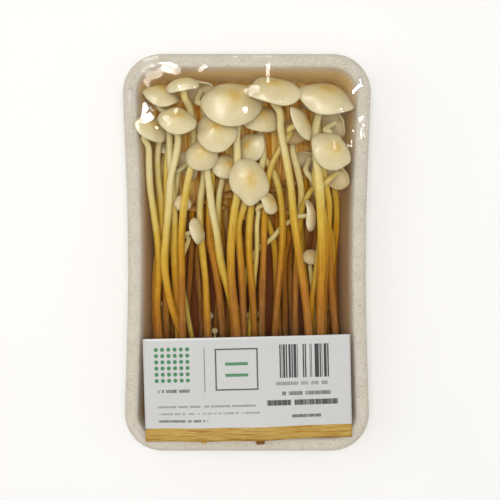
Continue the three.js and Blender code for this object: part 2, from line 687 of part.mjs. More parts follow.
const rows = [...deepMushrooms(), ...LAID];
const mushrooms = rows.map((row, k) => place(`mushroom_${String(k + 1).padStart(2, "0")}`, row));
PINS.forEach((pin, k) => mushrooms.push(place(`pin_${k + 1}`, pinMushroom(pin))));
settle(mushrooms);

add("tray", trayShape(), PULP_FINISH);
for (const mushroom of mushrooms) add(mushroom.name, mushroomShape(mushroom), FLESH_FINISH);
const filmHeight = stretchFilm(ballsOf(mushrooms));
add("film", filmShape(filmHeight), FILM_FINISH);
add("label", labelShape(filmHeight), PAPER_FINISH);

export default pack;
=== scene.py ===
"""A bunch of golden enoki mushrooms in a moulded-pulp tray, under clear film with a paper label."""
import copy
import math

import bmesh
import bpy
import numpy as np
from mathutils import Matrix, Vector


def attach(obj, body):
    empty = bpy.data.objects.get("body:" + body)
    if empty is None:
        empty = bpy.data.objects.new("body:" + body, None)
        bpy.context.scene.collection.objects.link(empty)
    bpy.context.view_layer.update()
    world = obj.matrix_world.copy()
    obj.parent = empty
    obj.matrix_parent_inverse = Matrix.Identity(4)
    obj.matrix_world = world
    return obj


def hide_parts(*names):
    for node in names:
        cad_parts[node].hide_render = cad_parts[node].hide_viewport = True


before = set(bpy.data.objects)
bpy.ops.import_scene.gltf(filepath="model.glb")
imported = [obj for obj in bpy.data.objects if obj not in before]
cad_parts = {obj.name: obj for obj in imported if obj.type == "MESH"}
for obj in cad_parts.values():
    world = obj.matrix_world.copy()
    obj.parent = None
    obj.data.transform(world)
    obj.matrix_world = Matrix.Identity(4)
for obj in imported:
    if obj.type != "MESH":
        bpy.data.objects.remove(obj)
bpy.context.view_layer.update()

MM = 0.001
FULL_TURN = 2 * math.pi
SEED = 11

# Tray, in millimetres
TRAY_LENGTH = 204
TRAY_WIDTH = 127
CORNER_RADIUS = 20
TIGHTEST_CORNER = 5
WAIST = 2.4
PULP = 1.6
RIM_HEIGHT = 27
RIM_WIDTH = 7
LIP_DROP = 3
LIP_Z = RIM_HEIGHT - LIP_DROP
FLOOR_INSET = 17
BASE_Z = 0.7
FLOOR_Z = BASE_Z + PULP
TRAY_ROUNDING = 1.4
AROUND = 336

# Film, in millimetres
FILM_GAP = 0.25
FILM_LIFT = 0.1
FILM_TUCK = 26
FILM_UNDER_Z = 0.25
FILM_ROUNDING = 1.2
FILM_TOP_RINGS = 72
FILM_TOP_REACH = 0.955
FILM_WALL_STEP = 2.5
TIGHTENING_ROUNDS = 900
TIGHTENING_PULL = 1.85
CREASE_WAVES = (23, 37, 61, 88)
CREASED_CORNER = (40, 78)
CREASED_CORNER_FADE = 20
CREASED_EDGE = 34

# Creases in the film, everywhere and as added at the corners, and how deep they may dip
TOP_RIPPLE = (0.04, 0.3)
TOP_RIPPLE_DIP = -0.05
SIDE_PLEAT = (0.25, 0.6)
SIDE_PLEAT_DIP = -0.1
GATHERED_LIFT = 0.12

# How much of the film shows, as a share: on the top, down the sides and on its folds
FILM_CLEAR = 0.009
FILM_SIDES = 0.1
FILM_FOLDS = 0.3

# Label, in millimetres
LABEL_SIZE = (106, 53)
LABEL_MIDDLE = (0.4, -68.4)
LABEL_TURN = math.radians(1.4)
LABEL_THICK = 0.12
LABEL_LIFT = 0.12
LABEL_GRID = (72, 36)
LABEL_BRIDGE = (18, 6)
LABEL_CLEAR = 5
LABEL_EASING = 40
LABEL_FADE = 6
STRIP_HEIGHT = 6.8
STRIP_EDGE = 0.1

# How a mushroom's solid is made, to read it back
STEM_SIDES_IN_CAD = 5
CAP_RINGS_IN_CAD = 5
TINY_RIM_IN_CAD = 10

# How finely a mushroom's skin is made
GROWN = {"stem sides": 14, "stem rings": 64, "cap sides": 44, "cap rings": 12}
TINY = {"stem sides": 8, "stem rings": 30, "cap sides": 20, "cap rings": 6}
TINY_GILLS = 12

# Stems
STEM_RIDGES = 0.05
STEM_TWIST = 0.05
STEM_SWELLS = 0.04
SWELL_PACE = 0.21
FOOT_CUT = 0.86

# Caps, as shares of their radius or height
CAP_SWELL = 1.07
LOBES = 0.03
RUFFLE = 0.016
DROOP = 0.05
OPEN_FALL = 1.45
DOME_FILL = 0.98
ROLLED_RIM = 0.985
ROLLED_RIM_DROP = 0.035
BROAD_DENTS = 0.018
NARROW_DENTS = 0.012
CROWN_HEIGHT = 0.06
CROWN_WIDTH = 0.25
RIM_WAVES = 8
DROOP_WAVES = 4

# Gills: one fold of them, and where their rings lie from the stem to the rim
GILL_FOLD = (0, 0, 1, 1)
GILL_STEPS = (0, 0.08, 0.3, 0.6, 0.85, 0.97)
GILL_DEPTH = 0.2
GILL_START = 0.03
GILL_END = 0.96

# Mushrooms that differ from the rest
YOUNG = ("mushroom_19", "mushroom_22", "mushroom_46", "mushroom_47", "mushroom_48")
BUTTONS = YOUNG + ("mushroom_29",)
DEEPEST = tuple(f"mushroom_{number:02d}" for number in range(1, 17))
WIDER = {"mushroom_41": 1.2, "mushroom_39": 1.07, "mushroom_45": 0.9}
# Tanning on the deepest mushrooms is painted shade; the tanning listed for the others is their own
# colour.
TANNED_AND_DEEP_SHADE = {
    **dict.fromkeys(DEEPEST, 0.95),
    "mushroom_29": 0.5, "mushroom_20": 0.3, "mushroom_21": 0.25, "mushroom_18": 0.25,
    "mushroom_19": 0.3,
}
PIN_TONE = 0.3

# How stems colour along their length, in millimetres, and the shares by which some differ
BROWN_FOOT = 12
COLOUR_RUN = 132
CREAM_NEAR_CAP = 20
ALIKE_FOOT = 40
PALENESS = 0.16
YOUNG_BROWNING = 0.4
# The deepest mushrooms' stems are held browner by this share, as painted shade.
DEEPEST_STEM_SHADE = 0.5


def srgb(red, green, blue):
    """A colour as seen on a screen, turned into the linear numbers that shaders use."""
    def linear(value):
        share = value / 255
        return share / 12.92 if share <= 0.04045 else ((share + 0.055) / 1.055) ** 2.4
    return (linear(red), linear(green), linear(blue), 1)


def part_way(value, start, length):
    """How far a value has come from start along a length, from 0 to 1."""
    return np.clip((value - start) / length, 0, 1)


def smooth_path(points, count):
    """A smooth curve through points, as count points."""
    ends = np.vstack([2 * points[0] - points[1], points, 2 * points[-1] - points[-2]])
    at = np.linspace(0, len(points) - 1, count)
    k = np.minimum(at.astype(int), len(points) - 2)
    t = (at - k)[:, None]
    a, b, c, d = (ends[k + step] for step in range(4))
    bend = (2 * a - 5 * b + 4 * c - d) * t**2 + (3 * b - a - 3 * c + d) * t**3
    return 0.5 * (2 * b + (c - a) * t + bend)


def unit(vector):
    return vector / np.linalg.norm(vector)


def loft_faces(rings):
    """Faces through rings of points, one after another, with a tip where a ring is one point."""
    faces = []
    first = 0
    sizes = [len(ring) for ring in rings]
    for a, b in zip(sizes, sizes[1:]):
        second = first + a
        if a == b:
            for i in range(a):
                j = (i + 1) % a
                faces.append((first + i, first + j, second + j, second + i))
        elif a == 1:
            for j in range(b):
                faces.append((first, second + (j + 1) % b, second + j))
        elif b == 1:
            for i in range(a):
                faces.append((first + i, first + (i + 1) % a, second))
        else:
            i = j = 0
            while i < a or j < b:
                here, there = first + i % a, second + j % b
                if (i + 1) * b <= (j + 1) * a and i < a:
                    i += 1
                    faces.append((here, first + i % a, there))
                else:
                    j += 1
                    faces.append((here, second + j % b, there))
        first = second
    return faces


def make_piece(name, points, faces, material):
    """A smooth mesh object in metres from points in millimetres."""
    mesh = bpy.data.meshes.new(name)
    mesh.from_pydata((np.asarray(points) * MM).tolist(), [], faces)
    mesh.validate()
    mesh.materials.append(material)
    mesh.shade_smooth()
    piece = bpy.data.objects.new(name, mesh)
    bpy.context.scene.collection.objects.link(piece)
    return piece


def store(piece, name, values):
    """Keeps a number or a place for each point of a piece, for its material to read."""
    values = np.asarray(values, np.float32)
    kind, field = ("FLOAT_VECTOR", "vector") if values.ndim == 2 else ("FLOAT", "value")
    held = piece.data.attributes.new(name, kind, "POINT")
    held.data.foreach_set(field, values.ravel())


def over_rings(rings, values):
    """One value for each ring, or for each of its points, set out over all the points."""
    return np.concatenate([np.broadcast_to(value, len(ring)) for ring, value in zip(rings, values)])


# Shader nodes

def link_or_set(tree, socket, value):
    if isinstance(value, bpy.types.NodeSocket):
        tree.links.new(value, socket)
    else:
        socket.default_value = value


def add_node(tree, kind, inputs=None, **settings):
    node = tree.nodes.new(kind)
    for name, value in settings.items():
        setattr(node, name, value)
    for name, value in (inputs or {}).items():
        link_or_set(tree, node.inputs[name], value)
    return node


def math_node(tree, operation, first, second, clamp=False):
    node = add_node(tree, "ShaderNodeMath", {0: first, 1: second}, operation=operation)
    node.use_clamp = clamp
    return node.outputs[0]


def times(tree, first, second):
    return math_node(tree, "MULTIPLY", first, second)


def plus(tree, first, second):
    return math_node(tree, "ADD", first, second)


def step_up(tree, value, low, high):
    """0 at low, 1 at high, and smooth between."""
    inputs = {"Value": value, "From Min": low, "From Max": high}
    node = add_node(tree, "ShaderNodeMapRange", inputs, interpolation_type="SMOOTHSTEP")
    return node.outputs["Result"]


def ramp(tree, value, stops):
    """Colours along a value, from stops of (place, colour)."""
    node = add_node(tree, "ShaderNodeValToRGB", {"Fac": value})
    elements = node.color_ramp.elements
    for _ in stops[2:]:
        elements.new(0.5)
    for element, (place, colour) in zip(elements, stops):
        element.position = place
        element.color = colour
    return node.outputs["Color"]


def mix_colour(tree, share, first, second):
    """The first colour where the share is 0, the second where it is 1."""
    node = add_node(tree, "ShaderNodeMix", {0: share, 6: first, 7: second}, data_type="RGBA")
    return node.outputs[2]


def noise(tree, place, scale, detail, more=None):
    inputs = {"Vector": place, "Scale": scale, "Detail": detail, **(more or {})}
    return add_node(tree, "ShaderNodeTexNoise", inputs).outputs["Fac"]


def vector_math(tree, operation, inputs):
    return add_node(tree, "ShaderNodeVectorMath", inputs, operation=operation).outputs


def kept(tree, name, vector=False):
    """A value that store has kept on the piece."""
    node = add_node(tree, "ShaderNodeAttribute", attribute_name=name)
    return node.outputs["Vector" if vector else "Fac"]


def in_millimetres(tree):
    place = add_node(tree, "ShaderNodeTexCoord").outputs["Object"]
    return vector_math(tree, "SCALE", {0: place, "Scale": 1000.0})[0]


def new_material(name):
    material = bpy.data.materials.new(name)
    material.use_nodes = True
    return material, material.node_tree, material.node_tree.nodes["Principled BSDF"]


def set_shader(shader, values):
    for name, value in values.items():
        shader.inputs[name].default_value = value


def raise_surface(tree, shader, height, strength, distance):
    bump = add_node(tree, "ShaderNodeBump", {
        "Height": height, "Strength": strength, "Distance": distance,
    })
    tree.links.new(bump.outputs["Normal"], shader.inputs["Normal"])


def new_group(name, vectors, numbers, results):
    """An empty node group with named inputs and outputs."""
    group = bpy.data.node_groups.new(name, "ShaderNodeTree")
    for kind, way, sockets in (
        ("NodeSocketVector", "INPUT", vectors),
        ("NodeSocketFloat", "INPUT", numbers),
        ("NodeSocketFloat", "OUTPUT", results),
    ):
        for socket in sockets:
            group.interface.new_socket(socket, in_out=way, socket_type=kind)
    given = group.nodes.new("NodeGroupInput").outputs
    result = group.nodes.new("NodeGroupOutput").inputs
    return group, given, result


def mottle_group():
    """Soft patches with fine grain on them, from a place in millimetres."""
    group, given, result = new_group(
        "mottle", ("Place",), ("Patch size", "Grain size"), ("Patches", "Grain"),
    )
    for size, output, detail in (("Patch size", "Patches", 3), ("Grain size", "Grain", 2)):
        scale = math_node(group, "DIVIDE", 1.0, given[size])
        group.links.new(noise(group, given["Place"], scale, detail), result[output])
    return group


def fibre_group():
    """Noise drawn out into fibres, from a place that is stretched, turned and shifted."""
    group, given, result = new_group(
        "fibres", ("Place", "Stretch", "Turn", "Shift"), ("Scale", "Detail", "Distortion"),
        ("Fibres",),
    )
    drawn = add_node(group, "ShaderNodeMapping", {
        "Vector": given["Place"], "Scale": given["Stretch"],
        "Rotation": given["Turn"], "Location": given["Shift"],
    })
    more = {"Distortion": given["Distortion"]}
    strands = noise(group, drawn.outputs[0], given["Scale"], given["Detail"], more)
    group.links.new(strands, result["Fibres"])
    return group


MOTTLE = mottle_group()
FIBRES = fibre_group()


def mottle(tree, place, patch, grain):
    inputs = {"Place": place, "Patch size": patch, "Grain size": grain}
    node = add_node(tree, "ShaderNodeGroup", inputs, node_tree=MOTTLE)
    return node.outputs["Patches"], node.outputs["Grain"]


def fibres(tree, place, stretch, scale, detail, turn=(0, 0, 0), shift=(0, 0, 0), distortion=0.0):
    inputs = {
        "Place": place, "Stretch": stretch, "Turn": turn, "Shift": shift,
        "Scale": scale, "Detail": detail, "Distortion": distortion,
    }
    return add_node(tree, "ShaderNodeGroup", inputs, node_tree=FIBRES).outputs["Fibres"]


# Mushroom flesh

STEM_COLOURS = (
    (0.0, srgb(116, 68, 16)), (0.2, srgb(150, 92, 10)), (0.38, srgb(178, 115, 4)),
    (0.55, srgb(202, 148, 10)), (0.72, srgb(213, 178, 60)), (0.88, srgb(221, 201, 122)),
    (1.0, srgb(225, 211, 156)),
)
CAP_COLOURS = (
    (0.0, srgb(212, 174, 92)), (0.16, srgb(216, 186, 110)), (0.4, srgb(219, 202, 149)),
    (1.0, srgb(225, 213, 174)),
)
DARK_STREAK = srgb(100, 56, 10)
PALE_THREAD = srgb(196, 160, 92)
CAP_PORE = srgb(204, 174, 108)
CAP_TAN_AND_DEEP_SHADE = srgb(174, 120, 36)
GILL_EDGE = srgb(236, 219, 172)
# Painted shade in the grooves between the gills.
GILL_GROOVE_SHADE = srgb(188, 156, 98)


def stem_colour(tree, rise, grain, strands, uneven):
    """Brown through gold to cream, with dark streaks and, toward the foot, pale split threads."""
    shifted = plus(tree, rise, times(tree, uneven, 0.22))
    smooth = ramp(tree, shifted, STEM_COLOURS)
    streak = times(tree, step_up(tree, strands, 0.44, 0.72), 0.75)
    lower = step_up(tree, rise, 0.95, 0.3)
    streaked = mix_colour(tree, times(tree, streak, lower), smooth, DARK_STREAK)
    split = fibres(tree, grain, (4.2, 4.2, 0.06), 1.6, 4.0, shift=(9, 4, 2))
    thread = times(tree, step_up(tree, split, 0.54, 0.7), step_up(tree, rise, 0.5, 0.05))
    return mix_colour(tree, times(tree, thread, 0.7), streaked, PALE_THREAD)


def cap_colour(tree, tone_and_deep_shade, fine, uneven):
    """Cream, yellower toward the crown, with fine pores, and tanned: on the deepest mushrooms this
    tanning is painted shade.
    """
    spread = plus(tree, kept(tree, "dome"), times(tree, uneven, 0.5))
    cream = ramp(tree, spread, CAP_COLOURS)
    pores = times(tree, step_up(tree, fine, 0.35, 0.75), 0.14)
    return mix_colour(tree, tone_and_deep_shade, mix_colour(tree, pores, cream, CAP_PORE), CAP_TAN_AND_DEEP_SHADE)


def flesh_material():
    """Stems, caps and gills in one, told apart by what is kept on each mushroom's points."""
    material, tree, shader = new_material("mushroom flesh")
    rise = kept(tree, "rise")
    tone_and_deep_shade = kept(tree, "tone_and_deep_shade")
    on_cap = kept(tree, "cap")
    grain = kept(tree, "grain", vector=True)
    patches, fine = mottle(tree, in_millimetres(tree), 4.0, 0.5)
    uneven = math_node(tree, "SUBTRACT", patches, 0.5)
    strands = fibres(tree, grain, (2.6, 2.6, 0.035), 1.6, 5.0)

    stem = stem_colour(tree, rise, grain, strands, uneven)
    cap = cap_colour(tree, tone_and_deep_shade, fine, uneven)
    # The gills are darker in their folds, as painted shade.
    gills = mix_colour(tree, kept(tree, "fold"), GILL_EDGE, GILL_GROOVE_SHADE)
    upper = mix_colour(tree, on_cap, stem, cap)
    whole = mix_colour(tree, kept(tree, "gill"), upper, gills)
    tree.links.new(whole, shader.inputs["Base Color"])

    rough = add_node(tree, "ShaderNodeMapRange", {"Value": on_cap, "To Min": 0.52, "To Max": 0.36})
    dull = plus(tree, rough.outputs["Result"], times(tree, tone_and_deep_shade, 0.4))
    tree.links.new(dull, shader.inputs["Roughness"])

    ridges = times(tree, strands, math_node(tree, "SUBTRACT", 1.0, on_cap, clamp=True))
    dents = times(tree, patches, times(tree, on_cap, 0.8))
    height = plus(tree, plus(tree, ridges, dents), times(tree, fine, 0.1))
    raise_surface(tree, shader, height, 0.4, 0.0006)
    set_shader(shader, {
        "Specular IOR Level": 0.3, "Subsurface Weight": 0.22, "Subsurface Scale": 1.0,
        "Subsurface Radius": (0.003, 0.0024, 0.0014),
    })
    return material


# Mushrooms

def rings_of(node):
    """A mushroom's solid as rings of points from its foot to its crown, in millimetres."""
    solid = bmesh.new()
    solid.from_mesh(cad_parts[node].data)
    bmesh.ops.remove_doubles(solid, verts=solid.verts, dist=1e-6)
    for foot in sorted(solid.verts, key=lambda point: point.co.y):
        rings = [[foot]]
        seen = {foot}
        while rings[-1]:
            around = []
            for point in rings[-1]:
                for edge in point.link_edges:
                    other = edge.other_vert(point)
                    if other not in seen:
                        seen.add(other)
                        around.append(other)
            rings.append(around)
        rings.pop()
        if all(len(ring) == STEM_SIDES_IN_CAD for ring in rings[1:-CAP_RINGS_IN_CAD - 1]):
            break
    places = [np.array([point.co[:] for point in ring]) / MM for ring in rings]
    solid.free()
    return places


def round_fit(angles, values, waves):
    """A smooth closed wave through values at angles."""
    def terms(at):
        columns = [np.ones_like(at)]
        for n in range(1, waves + 1):
            columns += [np.cos(n * at), np.sin(n * at)]
        return np.stack(columns, -1)
    weights = np.linalg.lstsq(terms(angles), values, rcond=None)[0]
    return lambda at: terms(at) @ weights


class Mushroom:
    """Where one mushroom's stem runs and how its cap sits, read from its solid."""

    def __init__(self, node, random):
        rings = rings_of(node)
        stem = rings[1:-CAP_RINGS_IN_CAD - 1]
        self.node = node
        self.pin = node.startswith("pin")
        self.tiny = len(rings[-2]) < TINY_RIM_IN_CAD
        self.centres = np.array([ring.mean(0) for ring in stem])
        self.radii = np.array([
            np.linalg.norm(ring - ring.mean(0), axis=1).mean() for ring in stem
        ])
        self.end = self.centres[-1]
        crown = rings[-1][0]
        self.axis = unit(crown - self.end)
        self.high = np.linalg.norm(crown - self.end)
        down = np.array([0, -1, 0])
        self.front = unit(down - self.axis * (down @ self.axis))
        self.side = np.cross(self.axis, self.front)
        rim = rings[-4] - self.end
        angles = np.arctan2(rim @ self.side, rim @ self.front)
        reach = np.hypot(rim @ self.side, rim @ self.front)
        waves = min(len(rim) // 3, RIM_WAVES)
        self.reach = round_fit(angles, reach, waves)
        self.droop = round_fit(angles, rim @ self.axis, min(waves, DROOP_WAVES))
        self.radius = reach.mean()
        self.rim = (rim @ self.axis).mean()
        self.phase = random.uniform(0, FULL_TURN, 4)


def stem_rings(mushroom, sides, count):
    """Rings along a stem from its foot to its cap, with the length from the foot of each."""
    path = smooth_path(mushroom.centres, count)
    radii = smooth_path(mushroom.radii[:, None], count)[:, 0]
    steps = np.linalg.norm(np.diff(path, axis=0), axis=1)
    lengths = np.concatenate([[0], np.cumsum(steps)])
    angles = np.linspace(0, FULL_TURN, sides, endpoint=False)
    phase = mushroom.phase
    last = count - 1
    front = mushroom.front
    rings = []
    for k in range(last, -1, -1):
        if k == last:
            tangent = mushroom.axis
        else:
            tangent = unit(path[k + 1] - path[max(k - 1, 0)])
        front = unit(front - tangent * (front @ tangent))
        side = np.cross(tangent, front)
        swell = 1 + STEM_RIDGES * np.sin(3 * angles + phase[0] + lengths[k] * STEM_TWIST)
        swell *= 1 + STEM_SWELLS * math.sin(lengths[k] * SWELL_PACE + phase[1])
        spread = radii[k] * swell
        across = np.outer(spread * np.cos(angles), front)
        rings.append(path[k] + across + np.outer(spread * np.sin(angles), side))
    return rings[::-1], lengths, angles


def cap_ring(mushroom, angles, share, along):
    """A ring of a cap at a share of its reach, at heights along its axis from the stem's end."""
    phase, radius = mushroom.phase, mushroom.radius
    lobes = np.sin(2 * angles + phase[0]) + 0.8 * np.sin(3 * angles + phase[1])
    ruffle = np.sin(5 * angles + phase[2]) + 0.6 * np.sin(8 * angles + phase[3])
    uneven = LOBES * lobes + RUFFLE * ruffle
    swell = 1 if mushroom.tiny else CAP_SWELL
    reach = swell * share * radius
    reach = reach * (1 + share * (mushroom.reach(angles) / radius - 1) + share**2 * uneven)
    droop = share**2 * (mushroom.droop(angles) - mushroom.rim)
    wave = DROOP * np.sin(3 * angles + phase[3]) + RUFFLE * ruffle
    droop = droop + share**4 * radius * wave
    return (
        mushroom.end
        + np.outer(along + droop, mushroom.axis)
        + np.outer(reach * np.cos(angles), mushroom.front)
        + np.outer(WIDER.get(mushroom.node, 1) * reach * np.sin(angles), mushroom.side)
    )


def gill_count(mushroom):
    return TINY_GILLS if mushroom.tiny else 2 * round(1.2 * mushroom.radius + 12)


def under_cap(mushroom):
    """Rings of a cap's underside from the stem out to the rim, folded into gills."""
    gills = gill_count(mushroom)
    angles = np.linspace(0, FULL_TURN, len(GILL_FOLD) * gills, endpoint=False)
    fold = np.tile(GILL_FOLD, gills)
    radius = mushroom.radius
    start = mushroom.radii[-1] / radius + GILL_START
    rings = []
    for part in GILL_STEPS:
        share = start + (GILL_END - start) * part
        edge = 0.02 * radius + (mushroom.rim - 0.01 * radius) * part**1.6
        depth = GILL_DEPTH * radius * (1 - part) ** 0.5 * min(1, 0.35 + 4 * part)
        depth *= part < GILL_STEPS[-1]
        rings.append(cap_ring(mushroom, angles, share, edge + depth * fold))
    return rings, angles, fold


def over_cap(mushroom, sides, count):
    """Rings of a cap's top from the rolled rim nearly to the crown, with the share of its reach."""
    angles = np.linspace(0, FULL_TURN, sides, endpoint=False)
    phase, radius = mushroom.phase, mushroom.radius
    dome = mushroom.high - mushroom.rim
    fall = 1.0 if mushroom.tiny or mushroom.node in BUTTONS else OPEN_FALL
    rings = [cap_ring(mushroom, angles, ROLLED_RIM, mushroom.rim - ROLLED_RIM_DROP * radius)]
    shares = [1.0]
    for turn in np.linspace(math.pi / 2, 0, count, endpoint=False):
        share = math.sin(turn)
        dents = BROAD_DENTS * radius * share * np.sin(2 * angles + phase[2] + 3 * share)
        dents += NARROW_DENTS * radius * share * np.sin(5 * angles + phase[3])
        crown = CROWN_HEIGHT * dome * math.exp(-((share / CROWN_WIDTH) ** 2))
        rise = dome * DOME_FILL * math.cos(turn) ** fall
        along = mushroom.rim + rise + crown + dents * math.cos(turn)
        rings.append(cap_ring(mushroom, angles, share, along))
        shares.append(share)
    return rings, shares, angles


def stem_rise(mushroom, lengths):
    """How far a stem has come from brown at 0 to cream at 1, at lengths from its foot."""
    near_cap = np.exp(-(lengths[-1] - lengths) / CREAM_NEAR_CAP)
    base = part_way(lengths, BROWN_FOOT, COLOUR_RUN)
    rise = base + (1 - base) * near_cap
    if mushroom.node in YOUNG or mushroom.pin:
        rise = 1 - (1 - rise) * YOUNG_BROWNING
    else:
        paler = PALENESS * (mushroom.phase[2] / math.pi - 1) * part_way(lengths, 0, ALIKE_FOOT)
        rise = np.clip(rise + paler, 0, 1)
    # Browner stems on the deepest mushrooms are painted shade.
    return rise * DEEPEST_STEM_SHADE if mushroom.node in DEEPEST else rise


def round_places(angles, length, reach=1.0):
    """Places round a stem laid out straight, for its fibres to run along."""
    return np.column_stack([
        reach * np.cos(angles), reach * np.sin(angles), np.full(len(angles), length),
    ])


def mushroom_piece(mushroom, material):
    """One mushroom as one closed skin: cut foot, stem, gills, rim and crown."""
    fine = TINY if mushroom.tiny else GROWN
    stem, lengths, stem_angles = stem_rings(mushroom, fine["stem sides"], fine["stem rings"])
    below, below_angles, fold = under_cap(mushroom)
    above, shares, above_angles = over_cap(mushroom, fine["cap sides"], fine["cap rings"])
    crown = mushroom.end + mushroom.axis * mushroom.high
    foot = stem[0].mean(0)
    cut = foot + FOOT_CUT * (stem[0] - foot)
    rings = [foot[None], cut, *stem, *below, *above, crown[None]]
    points = np.vstack(rings)
    piece = make_piece(mushroom.node + "_skin", points, loft_faces(rings), material)

    on_stem, on_gills, on_top = len(stem) + 2, len(below), len(above) + 1
    rise = stem_rise(mushroom, lengths)
    # On the deepest mushrooms this tanning is painted shade.
    tone_and_deep_shade = TANNED_AND_DEEP_SHADE.get(mushroom.node, PIN_TONE if mushroom.pin else 0.0)
    for name, values in (
        ("rise", [rise[0], rise[0], *rise] + [1.0] * (on_gills + on_top)),
        ("cap", [0.0] * on_stem + [1.0] * (on_gills + on_top)),
        ("gill", [0.0] * on_stem + [1.0] * on_gills + [0.0] * on_top),
        ("fold", [0.0] * on_stem + [fold] * on_gills + [0.0] * on_top),
        ("dome", [1.0] * (on_stem + on_gills) + shares + [0.0]),
        ("tone_and_deep_shade", [tone_and_deep_shade] * len(rings)),
    ):
        store(piece, name, over_rings(rings, values))

    beyond = lengths[-1] + 5
    grain = [np.zeros((1, 3)), round_places(stem_angles, 0, FOOT_CUT)]
    grain += [round_places(stem_angles, length) for length in lengths]
    grain += [round_places(below_angles, beyond)] * len(below)
    grain += [round_places(above_angles, beyond)] * len(above)
    grain.append(np.array([[0, 0, beyond]]))
    shift = np.array([mushroom.phase[0] * 7, mushroom.phase[1] * 5, 0])
    store(piece, "grain", np.vstack(grain) + shift)
    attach(piece, "root")
    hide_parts(mushroom.node)
    return points


# Tray

PULP_PATCHES = ((0.3, srgb(190, 180, 162)), (0.7, srgb(207, 199, 184)))
PULP_GRAIN = srgb(216, 210, 198)
PULP_FLECK = srgb(136, 106, 70)
PULP_HAIR = srgb(232, 226, 214)
# Painted shade and light inside the tray: the wall darker by the stems and lighter by the caps over
# its stain, the floor dark brown by the stems and gold streaks by the caps that stand for stems in
# shade.
WALL_STAIN_AND_SHADE_BY_STEMS = srgb(164, 126, 74)
WALL_STAIN_AND_LIGHT_BY_CAPS = srgb(218, 186, 126)
FLOOR_SHADE_BY_STEMS = srgb(112, 56, 16)
FLOOR_PAINTED_STEMS_BY_CAPS = (srgb(204, 136, 36), srgb(252, 212, 118))

# Where the wall's stain and painted shade and the floor's painted shade change, in millimetres:
# down the wall, toward the floor, and along the tray
WALL_STAIN_AND_SHADE_SPAN = (26.6, 19.0)
FLOOR_SHADE_SPAN = (15.0, 3.0)
WALL_TO_CAPS = (30.0, 80.0)
FLOOR_TO_CAPS = (-5.0, 45.0)


def waist_at(y):
    return WAIST * np.clip(1 - (2 * y / TRAY_LENGTH) ** 2, 0, None) ** 2


def tray_outline(inset):
    """The tray's rounded outline drawn in by an inset, as points evenly spaced round it."""
    half_x, half_y = TRAY_WIDTH / 2 - inset, TRAY_LENGTH / 2 - inset
    radius = max(CORNER_RADIUS - inset, TIGHTEST_CORNER)
    straight_x = 2 * (TRAY_WIDTH / 2 - CORNER_RADIUS)
    straight_y = 2 * (TRAY_LENGTH / 2 - CORNER_RADIUS)
    arc = CORNER_RADIUS * math.pi / 2
    lengths = [arc, straight_x, arc, straight_y] * 2
    ends = np.cumsum(lengths)
    at = np.linspace(0, ends[-1], AROUND, endpoint=False)
    leg = np.searchsorted(ends, at, side="right")
    part = (at - (ends - lengths)[leg]) / np.array(lengths)[leg]
    corner = leg // 2
    sign_x = np.array([1, -1, -1, 1])[corner]
    sign_y = np.array([1, 1, -1, -1])[corner]
    next_x = np.array([-1, -1, 1, 1])[corner]
    next_y = np.array([1, -1, -1, 1])[corner]
    turning = leg % 2 == 0
    angle = (corner + np.where(turning, part, 1)) * math.pi / 2
    side_x = np.where(turning, sign_x, sign_x + (next_x - sign_x) * part)
    side_y = np.where(turning, sign_y, sign_y + (next_y - sign_y) * part)
    x = side_x * (half_x - radius) + radius * np.cos(angle)
    y = side_y * (half_y - radius) + radius * np.sin(angle)
    x -= np.sign(x) * waist_at(y) * np.abs(x) / half_x
    return np.stack([x, y], -1)


def inset_at(x, y):
    """How far a place lies inside the tray's outer edge."""
    out_x = np.abs(x) - (TRAY_WIDTH / 2 - waist_at(y) - CORNER_RADIUS)
    out_y = np.abs(y) - (TRAY_LENGTH / 2 - CORNER_RADIUS)
    outside = np.hypot(np.maximum(out_x, 0), np.maximum(out_y, 0))
    return CORNER_RADIUS - outside - np.minimum(np.maximum(out_x, out_y), 0)


def rounded(profile, reach):
    """A line through corners, each rounded off over a reach."""
    corners = np.array(profile, float)
    points = [corners[0]]
    for before, corner, after in zip(corners, corners[1:], corners[2:]):
        back, ahead = before - corner, after - corner
        start = corner + back * min(reach / np.linalg.norm(back), 0.48)
        end = corner + ahead * min(reach / np.linalg.norm(ahead), 0.48)
        for t in (0, 0.25, 0.5, 0.75, 1):
            points.append((1 - t) ** 2 * start + 2 * t * (1 - t) * corner + t**2 * end)
    points.append(corners[-1])
    return points


def stain_and_painted_shade(tree, place, pulp):
    """Pulp with painted shade inside: the wall partly stain and partly painted shade, darker by the
    stems and lighter by the caps; the floor painted shade, dark brown by the stems and gold streaks
    by the caps that stand for stems in shade.
    """
    split = add_node(tree, "ShaderNodeSeparateXYZ", {0: place}).outputs
    height, along = split["Z"], split["Y"]
    inside = kept(tree, "inside")
    tan = mix_colour(tree, step_up(tree, along, *WALL_TO_CAPS), WALL_STAIN_AND_SHADE_BY_STEMS, WALL_STAIN_AND_LIGHT_BY_CAPS)
    on_wall = times(tree, step_up(tree, height, *WALL_STAIN_AND_SHADE_SPAN), inside)
    walled = mix_colour(tree, times(tree, on_wall, 0.9), pulp, tan)
    # Streaks painted on the floor to stand for stems in shade.
    painted_stem_streaks = fibres(tree, place, (0.42, 0.035, 0.3), 1.0, 2.0, distortion=0.8)
    painted_stems = mix_colour(tree, step_up(tree, painted_stem_streaks, 0.38, 0.62), *FLOOR_PAINTED_STEMS_BY_CAPS)
    painted_floor_shade = mix_colour(tree, step_up(tree, along, *FLOOR_TO_CAPS), FLOOR_SHADE_BY_STEMS, painted_stems)
    on_floor = times(tree, step_up(tree, height, *FLOOR_SHADE_SPAN), inside)
    return mix_colour(tree, on_floor, walled, painted_floor_shade)


